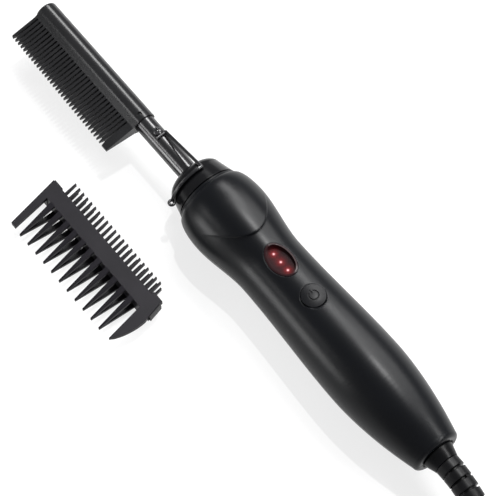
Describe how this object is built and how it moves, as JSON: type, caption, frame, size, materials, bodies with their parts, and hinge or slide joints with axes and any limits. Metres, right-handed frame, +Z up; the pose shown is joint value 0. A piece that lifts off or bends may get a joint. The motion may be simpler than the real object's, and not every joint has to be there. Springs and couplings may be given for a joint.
{
  "type": "hot comb",
  "caption": "Electric hot comb: waisted handle with a lit window and power button, folding wire stand, swivelling cord outlet, coiled cord with plug, and a clip-on comb cover beside it.",
  "frame": {"origin": "on the table, at the middle of the flat rest face under the widest place of the handle", "axes": "+Y along the tool towards the tip of the comb, -X the side the teeth point to, +Z up, the side of the window and button"},
  "size_m": [0.1447, 0.4359, 0.0413],
  "materials": {
    "black_metal": "gloss",
    "ceramic": "matte",
    "dark_steel": "satin",
    "stand_wire": "gloss",
    "nose_black": "satin",
    "inner_resin": "matte",
    "lead_red": "satin",
    "steel": "satin",
    "handle_black": "satin",
    "smoky_pane": "clear",
    "lamp_red": "gloss",
    "board_green": "satin",
    "switch_grey": "satin",
    "plunger_white": "satin",
    "chip_black": "matte",
    "capacitor_yellow": "gloss",
    "lead_blue": "satin",
    "contact_brass": "satin",
    "button_black": "satin",
    "collar_black": "satin",
    "cord_black": "satin",
    "tie_black": "matte",
    "plug_black": "matte",
    "pin_plated": "polished",
    "cover_grey": "satin",
    "clip_black": "matte"
  },
  "bodies": {
    "tool": {"comb_head": "black_metal", "neck_tube": "black_metal", "heater_rod": "ceramic", "heater_sleeve": "ceramic", "temperature_probe": "ceramic", "neck_screw": "dark_steel", "nose_shroud": "nose_black", "neck_clamp": "inner_resin", "heater_leads": "lead_red", "thermal_fuse": "steel", "handle_top": "handle_black", "handle_bottom": "handle_black", "handle_screws": "steel", "window_lens": "smoky_pane", "indicator_lamps": "lamp_red", "circuit_board": "board_green", "board_screws": "steel", "tact_switch": "switch_grey", "power_triac": "chip_black", "film_capacitor": "capacitor_yellow", "mains_leads": "lead_blue", "contact_block": "inner_resin", "brush_contacts": "contact_brass", "bend_relief": "cord_black", "power_cord": "cord_black", "cord_coil": "cord_black", "plug_lead": "cord_black", "cord_tie": "tie_black", "plug_body": "plug_black", "plug_pins": "pin_plated"},
    "power_button": {"button_cap": "button_black", "switch_plunger": "plunger_white"},
    "stand": {"wire_stand": "stand_wire"},
    "cord_swivel": {"swivel_collar": "collar_black", "slip_rings": "contact_brass"},
    "cover": {"comb_cover": "cover_grey", "cover_clip": "clip_black"}
  },
  "joints": [
    {"name": "power_button", "type": "slide", "parent": "tool", "child": "power_button", "axis": [0, 0, -1], "range_m": [0, 0.0006], "stiffness_N_per_m": 1500},
    {"name": "stand_fold", "type": "hinge", "parent": "tool", "child": "stand", "pos_m": [0, 0.05388, 0.02575], "axis": [-1, 0, 0], "range_deg": [0, 90]},
    {"name": "cord_swivel", "type": "hinge", "parent": "tool", "child": "cord_swivel", "pos_m": [0, -0.153, 0.0202], "axis": [0, 1, 0], "range_deg": [-180, 180]},
    {"name": "cover_lift", "type": "slide", "parent": "tool", "child": "cover", "axis": [0, 0, 1], "range_m": [0, 0.08]}
  ]
}
